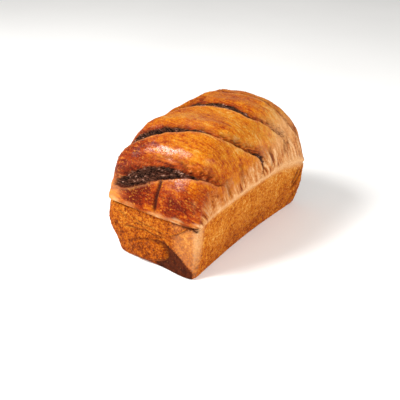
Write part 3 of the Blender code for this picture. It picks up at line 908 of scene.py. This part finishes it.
def loaf_mesh():
    u, v, share, kind, quads, last_ring = loaf_grid()
    base, points, outward, normal, masks = loaf_form(u, v, share, kind, quads)
    fields = uneven_fields(base)
    shares = skin_shares(base, outward, normal, kind, masks, fields["ragged"])
    lift = fine_relief(base, shares, fields, masks)
    middle = 0.5 * (points.min(0) + points.max(0))
    points = points + vertex_normals(points, quads) * lift[:, None]
    points -= np.array([middle[0], middle[1], 0.0])
    points[:, 2] = np.where(kind == UNDERSIDE, 0.0, np.maximum(points[:, 2], 0.0))
    mesh = bpy.data.meshes.new("loaf_crust")
    faces = quads.tolist() + [last_ring.tolist()]
    mesh.from_pydata((points * MM).tolist(), [], faces)
    for name, values in crust_masks(base, normal, kind, shares, fields, masks).items():
        layer = mesh.attributes.new(name, "FLOAT", "POINT")
        layer.data.foreach_set("value", values.astype(np.float32))
    mesh.shade_smooth()
    mesh.update()
    return mesh


def colour(code):
    """Linear colour of an sRGB hex code."""
    parts = [int(code[i:i + 2], 16) / 255 for i in (1, 3, 5)]
    linear = [c / 12.92 if c <= 0.04045 else ((c + 0.055) / 1.055) ** 2.4 for c in parts]
    return (*linear, 1.0)


def add(tree, kind, inputs=None, stops=(), **settings):
    """Add a node with its settings and links; stops are the (place, hex code) of a colour ramp."""
    node = tree.nodes.new(kind)
    for name, value in settings.items():
        setattr(node, name, value)
    for name, value in (inputs or {}).items():
        if isinstance(value, bpy.types.NodeSocket):
            tree.links.new(value, node.inputs[name])
        else:
            node.inputs[name].default_value = value
    while stops and len(node.color_ramp.elements) < len(stops):
        node.color_ramp.elements.new(0.5)
    for index, (place, code) in enumerate(stops):
        node.color_ramp.elements[index].position = place
        node.color_ramp.elements[index].color = colour(code)
    return node


def in_scene(name, data):
    """New object of this data, put in the scene."""
    item = bpy.data.objects.new(name, data)
    bpy.context.scene.collection.objects.link(item)
    return item


def new_material(name):
    material = bpy.data.materials.new(name)
    material.use_nodes = True
    tree = material.node_tree
    return material, tree, tree.nodes["Principled BSDF"]


def per_mm(size):
    """Texture scale that gives features of this many mm."""
    return 1000.0 / size


def weighed(tree, first, *terms):
    """First value plus each (value, weight, centre) term: weight * (value - centre)."""
    total = first
    for value, weight, centre in terms:
        moved = add(tree, "ShaderNodeMath", {0: value, 1: weight, 2: -weight * centre},
                    operation="MULTIPLY_ADD").outputs[0]
        total = add(tree, "ShaderNodeMath", {0: total, 1: moved}, operation="ADD").outputs[0]
    return total


def product(tree, first, *others):
    for value in others:
        first = add(tree, "ShaderNodeMath", {0: first, 1: value}, operation="MULTIPLY").outputs[0]
    return first


def covered(tree, surface, *layers):
    """Colour with (share, colour) layers laid over it in turn."""
    for share, over in layers:
        surface = add(tree, "ShaderNodeMix", {0: share, 6: surface, 7: over},
                      data_type="RGBA").outputs[2]
    return surface


# Slant of the skin's fine stretch marks on the long sides, radians
STRETCH_TURN = 0.42


def crust_grains(tree, place):
    """Noise fields of the dough skin by name, each from its size in mm; two lie along the stretch."""
    grains = {}
    for name, size, detail in (("pore", 0.9, 3.0), ("fine", 1.9, 3.0), ("goose", 2.7, 1.5),
                               ("middle", 6.0, 2.0), ("broad", 22.0, 2.0)):
        grains[name] = add(tree, "ShaderNodeTexNoise", {
            "Vector": place, "Scale": per_mm(size), "Detail": detail}).outputs[0]
    for name, sizes in (("strands", (16.0, 1.9, 13.0)), ("flecks", (4.2, 1.9, 4.2))):
        along = add(tree, "ShaderNodeMapping", {
            "Vector": place, "Rotation": (STRETCH_TURN, 0.0, 0.0), "Scale": [size * MM for size in sizes]},
            vector_type="TEXTURE").outputs[0]
        grains[name] = add(tree, "ShaderNodeTexNoise", {
            "Vector": along, "Scale": 1.0, "Detail": 2.0, "Distortion": 0.35}).outputs[0]
    return grains


def crust_colour(tree, grains, masks):
    """Colour of the crust: crown, walls, stretched and torn skin, dark dough and painted shade in the
    folds in turn.
    """
    # Sugar in the crown's skin browns from gold through orange to dark red-brown
    tone = weighed(tree, masks["brown_tone_and_painted_light"], (grains["fine"], 0.60, 0.5), (grains["middle"], 0.60, 0.5),
                   (grains["broad"], 0.34, 0.5), (grains["strands"], 0.8, 0.5))
    crown = add(tree, "ShaderNodeValToRGB", {"Fac": tone}, (
        (0.05, "#BE8C4C"), (0.26, "#B4700F"), (0.44, "#AB5A02"), (0.58, "#9A4600"), (0.74, "#842D00"),
        (0.90, "#701F00"), (1.00, "#561200"))).outputs[0]
    # Light flecks: pale blisters of the skin, and painted highlight on the lit rims of its wrinkles
    flecks = add(tree, "ShaderNodeMapRange", {
        "Value": grains["flecks"], "From Min": 0.58, "From Max": 0.70, "To Max": 0.5}).outputs[0]
    crown = covered(tree, crown, (product(tree, flecks, masks["fleck_share"]), colour("#D08228")))

    # Against the tin it dries to a goose-skin of pale bumps and dark pits
    tone = weighed(tree, masks["brown_tone_and_painted_light"], (grains["goose"], 1.15, 0.5), (grains["fine"], 0.7, 0.5),
                   (grains["middle"], 0.5, 0.5), (grains["broad"], 0.4, 0.5))
    walls = add(tree, "ShaderNodeValToRGB", {"Fac": tone}, (
        (0.08, "#CB9854"), (0.28, "#BE7C2E"), (0.45, "#B26818"), (0.60, "#A45406"), (0.76, "#8E3E02"),
        (0.92, "#763000"), (1.00, "#602404"))).outputs[0]
    surface = covered(tree, crown, (masks["wall"], walls))

    # Dough stretched between crown and rim stays pale, in strands with brown cracks
    streak = weighed(tree, masks["streak"], (grains["strands"], 1.3, 0.5), (grains["fine"], 0.5, 0.5),
                     (grains["middle"], 0.5, 0.5))
    stretched = add(tree, "ShaderNodeValToRGB", {"Fac": streak}, (
        (0.02, "#6C2C0E"), (0.20, "#965020"), (0.42, "#AE6C36"), (0.72, "#BE8650"),
        (1.00, "#CE9E70"))).outputs[0]

    # Torn skin over the slashes shows red-brown strands
    strand = weighed(tree, masks["strand"], (grains["fine"], 0.9, 0.5))
    torn = add(tree, "ShaderNodeValToRGB", {"Fac": strand}, (
        (0.10, "#3E1004"), (0.42, "#74260A"), (0.72, "#9A4412"), (1.00, "#BC7440"))).outputs[0]
    # Straw colour of the pale dough, also laid as the painted lip highlight and the painted sheen spots
    straw = add(tree, "ShaderNodeValToRGB", {"Fac": grains["fine"]}, (
        (0.30, "#BC8450"), (0.70, "#D4A878"))).outputs[0]
    surface = covered(tree, surface, (masks["flank"], stretched),
                      (product(tree, masks["torn"], 0.7), torn), (masks["pale"], straw))

    # Dark dough: moist brown crumb where it is torn, its lightest tones painted glints, and a smooth skin
    # on the end
    crumb_tone = weighed(tree, masks["crumb_tone"], (grains["fine"], 0.6, 0.5))
    crumb = add(tree, "ShaderNodeValToRGB", {"Fac": crumb_tone}, (
        (0.15, "#0A0302"), (0.46, "#251008"), (0.74, "#4A2618"), (1.00, "#9C7866"))).outputs[0]
    rind_tone = weighed(tree, grains["middle"], (grains["fine"], 0.8, 0.5))
    rind = add(tree, "ShaderNodeValToRGB", {"Fac": rind_tone}, (
        (0.28, "#2E0C02"), (0.72, "#4E1E09"))).outputs[0]
    dark_dough = covered(tree, rind, (masks["crumb"], crumb))
    raised = covered(tree, colour("#D08A3C"), (masks["crumb"], colour("#7A5444")))
    # The dark dough, the paler lumps, and over all the painted shade of folds, cracks and edges with the
    # dark tears
    surface = covered(tree, surface, (masks["dark"], dark_dough), (masks["raised"], raised),
                      (masks["painted_shade_and_tears"], colour("#3A1005")))
    return surface


def crust_material():
    """Baked rye dough skin: satin and orange-brown on the crown, matt and pitted on the tin walls."""
    material, tree, shader = new_material("browned_rye_crust")
    place = add(tree, "ShaderNodeTexCoord").outputs["Object"]
    grains = crust_grains(tree, place)
    masks = {name: add(tree, "ShaderNodeAttribute", attribute_name=name).outputs["Fac"]
             for name in ("brown_tone_and_painted_light", "fleck_share", "flank", "streak", "pale", "torn", "strand",
                          "dark", "crumb", "crumb_tone", "painted_shade_and_tears", "gloss", "wall", "raised")}
    tree.links.new(crust_colour(tree, grains, masks), shader.inputs["Base Color"])

    # Dry, porous skin with a faint wide shine, and a clear satin coat where the wash lies thick
    rough = weighed(tree, 0.62, (masks["gloss"], -0.24, 0.0), (grains["fine"], 0.20, 0.5),
                    (masks["crumb"], 0.2, 0.0))
    tree.links.new(rough, shader.inputs["Roughness"])
    shader.inputs["IOR"].default_value = 1.30
    shader.inputs["Specular IOR Level"].default_value = 0.11
    tree.links.new(product(tree, masks["gloss"], 0.95), shader.inputs["Coat Weight"])
    shader.inputs["Coat Roughness"].default_value = 0.24
    shader.inputs["Sheen Weight"].default_value = 0.10
    shader.inputs["Sheen Roughness"].default_value = 0.35
    shader.inputs["Sheen Tint"].default_value = colour("#FFB27A")

    # Pores, goose-skin and strands too fine for the mesh; the wash fills most of them
    goose = product(tree, grains["goose"], masks["wall"])
    strands = product(tree, grains["strands"], masks["flank"])
    height = weighed(tree, product(tree, grains["pore"], 0.5), (grains["fine"], 0.8, 0.5),
                     (goose, 0.7, 0.0), (strands, 1.0, 0.0), (grains["flecks"], 0.8, 0.5))
    bump = add(tree, "ShaderNodeBump", {"Height": height, "Distance": 0.0013, "Strength": 0.9})
    tree.links.new(bump.outputs["Normal"], shader.inputs["Normal"])
    wash = add(tree, "ShaderNodeBump", {"Height": height, "Distance": 0.0012, "Strength": 0.22})
    tree.links.new(wash.outputs["Normal"], shader.inputs["Coat Normal"])
    return material


# Lumps set on the skin: piece, mask, spacing mm, smallest and largest half width mm, times as long,
# times as high, how far they lie downhill, share of the raised tone and seed; then how far each may
# sway along the loaf, and how many there may be at most
LUMPS = (
    ("crown_blisters", "blister_share", 3.6, 0.40, 0.85, 2.0, 0.34, 1.0, 0.16, 11),
    ("flank_strands", "strand_share", 4.0, 0.40, 0.80, 4.5, 0.34, 1.0, 0.10, 23),
    ("crumb_nubs", "nub_share", 2.2, 0.45, 0.95, 3.4, 0.70, 0.0, 0.20, 37),
    ("wall_bumps", "bump_share", 2.6, 0.55, 0.95, 1.5, 0.30, 1.0, 0.14, 51),
)
LUMP_SWAY = (0.0, 0.8)
LUMPS_PER_M2 = 400000.0


def lump_tree():
    """Geometry Nodes: small low domes spread over a skin by a mask, lying along its stretch."""
    tree = bpy.data.node_groups.new("lumps_on_skin", "GeometryNodeTree")
    for name, kind in (("Skin", "Geometry"), ("Mask", "String"), ("Spacing", "Float"),
                       ("Smallest", "Float"), ("Largest", "Float"), ("Length", "Float"),
                       ("Height", "Float"), ("Downhill", "Float"), ("Paler", "Float"), ("Seed", "Int"),
                       ("Finish", "Material")):
        tree.interface.new_socket(name, in_out="INPUT", socket_type="NodeSocket" + kind)
    tree.interface.new_socket("Lumps", in_out="OUTPUT", socket_type="NodeSocketGeometry")
    given = add(tree, "NodeGroupInput").outputs

    mask = add(tree, "GeometryNodeInputNamedAttribute", {"Name": given["Mask"]}, data_type="FLOAT")
    spread = add(tree, "GeometryNodeDistributePointsOnFaces", {
        "Mesh": given["Skin"], "Distance Min": given["Spacing"], "Density Max": LUMPS_PER_M2,
        "Density Factor": mask.outputs[0], "Seed": given["Seed"]}, distribute_method="POISSON")

    # Down the slope of the skin on each side of the loaf, with some sway
    where = add(tree, "ShaderNodeSeparateXYZ", {
        0: add(tree, "GeometryNodeInputPosition").outputs[0]}).outputs["X"]
    outward = add(tree, "ShaderNodeMath", {0: where}, operation="SIGN").outputs[0]
    sway = add(tree, "FunctionNodeRandomValue", {2: LUMP_SWAY[0], 3: LUMP_SWAY[1], "Seed": given["Seed"]},
               data_type="FLOAT").outputs[1]
    fall = add(tree, "ShaderNodeMath", {0: given["Downhill"], 1: -1.0}, operation="MULTIPLY").outputs[0]
    stretch = add(tree, "ShaderNodeCombineXYZ", {"X": outward, "Y": sway, "Z": fall}).outputs[0]
    turn = add(tree, "FunctionNodeAxesToRotation", {
        "Primary Axis": spread.outputs["Normal"], "Secondary Axis": stretch},
        primary_axis="Z", secondary_axis="X").outputs[0]

    half_width = add(tree, "FunctionNodeRandomValue", {
        2: given["Smallest"], 3: given["Largest"], "Seed": given["Seed"]}, data_type="FLOAT").outputs[1]
    long = add(tree, "ShaderNodeMath", {0: half_width, 1: given["Length"]}, operation="MULTIPLY")
    high = add(tree, "ShaderNodeMath", {0: half_width, 1: given["Height"]}, operation="MULTIPLY")
    size = add(tree, "ShaderNodeCombineXYZ", {
        "X": long.outputs[0], "Y": half_width, "Z": high.outputs[0]}).outputs[0]
    dome = add(tree, "GeometryNodeMeshIcoSphere", {"Radius": 1.0, "Subdivisions": 1})
    placed = add(tree, "GeometryNodeInstanceOnPoints", {
        "Points": spread.outputs["Points"], "Instance": dome.outputs[0], "Rotation": turn, "Scale": size})
    toned = add(tree, "GeometryNodeStoreNamedAttribute", {
        "Geometry": placed.outputs[0], "Name": "raised", "Value": given["Paler"]},
        data_type="FLOAT", domain="INSTANCE")
    real = add(tree, "GeometryNodeRealizeInstances", {0: toned.outputs[0]})
    rounded = add(tree, "GeometryNodeSetShadeSmooth", {0: real.outputs[0]})
    finished = add(tree, "GeometryNodeSetMaterial", {
        "Geometry": rounded.outputs[0], "Material": given["Finish"]})
    add(tree, "NodeGroupOutput", {0: finished.outputs[0]})
    return tree


def scatter_lumps(loaf):
    """Blisters, strands, crumb nubs and wall bumps, each kind as one plain mesh."""
    tree = lump_tree()
    sockets = {item.name: item.identifier for item in tree.interface.items_tree}
    for name, mask, spacing, smallest, largest, length, height, downhill, paler, seed in LUMPS:
        carrier = in_scene(name + "_carrier", loaf.data)
        modifier = carrier.modifiers.new("lumps", "NODES")
        modifier.node_group = tree
        for label, value in (("Mask", mask), ("Spacing", spacing * MM), ("Smallest", smallest * MM),
                             ("Largest", largest * MM), ("Length", length), ("Height", height),
                             ("Downhill", downhill), ("Paler", paler), ("Seed", seed),
                             ("Finish", loaf.data.materials[0])):
            modifier[sockets[label]] = value
        graph = bpy.context.evaluated_depsgraph_get()
        mesh = bpy.data.meshes.new_from_object(carrier.evaluated_get(graph))
        bpy.data.objects.remove(carrier)
        mesh.name = name
        piece = in_scene(name, mesh)
        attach(piece, "root")


# Floor: half width in m and size of its faint unevenness in mm
FLOOR_HALF = 4.0
FLOOR_CLOUD = 300.0


def floor():
    """Plain white paper."""
    mesh = bpy.data.meshes.new("floor")
    corners = [(x * FLOOR_HALF, y * FLOOR_HALF, 0) for x, y in ((-1, -1), (1, -1), (1, 1), (-1, 1))]
    mesh.from_pydata(corners, [], [(0, 1, 2, 3)])
    piece = in_scene("floor", mesh)
    material, tree, shader = new_material("matt_white_paper")
    place = add(tree, "ShaderNodeTexCoord").outputs["Object"]
    cloud = add(tree, "ShaderNodeTexNoise", {"Vector": place, "Scale": per_mm(FLOOR_CLOUD)}).outputs[0]
    shade = add(tree, "ShaderNodeValToRGB", {"Fac": cloud}, ((0.3, "#F1F0EE"), (0.7, "#F5F4F2")))
    tree.links.new(shade.outputs[0], shader.inputs["Base Color"])
    shader.inputs["Roughness"].default_value = 0.8
    mesh.materials.append(material)


# Camera: turn and lift in degrees, distance and offsets in m, lens and sensor in mm
CAMERA_TURN = 35.33
CAMERA_LIFT = 28.27
CAMERA_DISTANCE = 0.9356
CAMERA_AIM_Z = 0.08
CAMERA_RIGHT = -0.0145
CAMERA_UP = -0.0397
CAMERA_LENS = 67.3
CAMERA_SENSOR = 36.0
CAMERA_NEAR = 0.01


def camera():
    turn, lift = math.radians(CAMERA_TURN), math.radians(CAMERA_LIFT)
    back = Vector((math.sin(turn) * math.cos(lift), -math.cos(turn) * math.cos(lift), math.sin(lift)))
    right = Vector((math.cos(turn), math.sin(turn), 0.0))
    up = back.cross(right)
    place = Vector((0, 0, CAMERA_AIM_Z)) + right * CAMERA_RIGHT + up * CAMERA_UP
    place += back * CAMERA_DISTANCE
    data = bpy.data.cameras.new("camera")
    data.lens = CAMERA_LENS
    data.sensor_width = CAMERA_SENSOR
    data.clip_start = CAMERA_NEAR
    item = in_scene("camera", data)
    axes = Matrix((right, up, back)).transposed()
    item.matrix_world = Matrix.Translation(place) @ axes.to_4x4()
    bpy.context.scene.camera = item


# Even light of the studio around, and soft boxes: (name, direction to it, distance m, size m, watts)
STUDIO_LIGHT = 0.45
SOFT_BOXES = (
    ("overhead", (-0.44, -0.54, 0.71), 1.4, 0.5, 26.0),
    ("left_front", (-0.38, -0.81, 0.46), 1.7, 0.32, 11.2),
    ("right", (1.0, -0.15, 0.45), 1.7, 1.1, 29.5),
)


def lights():
    for name, toward, distance, size, watts in SOFT_BOXES:
        data = bpy.data.lights.new(name, "AREA")
        data.shape = "SQUARE"
        data.size = size
        data.energy = watts
        item = in_scene(name, data)
        direction = Vector(toward).normalized()
        item.location = direction * distance + Vector((0, 0, CAMERA_AIM_Z))
        item.rotation_euler = direction.to_track_quat("Z", "Y").to_euler()
    world = bpy.data.worlds.new("studio")
    world.use_nodes = True
    background = world.node_tree.nodes["Background"]
    background.inputs["Color"].default_value = colour("#F4F3F1")
    background.inputs["Strength"].default_value = STUDIO_LIGHT
    bpy.context.scene.world = world
    bpy.context.scene.view_settings.view_transform = "Standard"


def main():
    loaf = in_scene("loaf_crust", loaf_mesh())
    loaf.data.materials.append(crust_material())
    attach(loaf, "root")
    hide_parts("loaf")
    scatter_lumps(loaf)
    floor()
    camera()
    lights()


main()
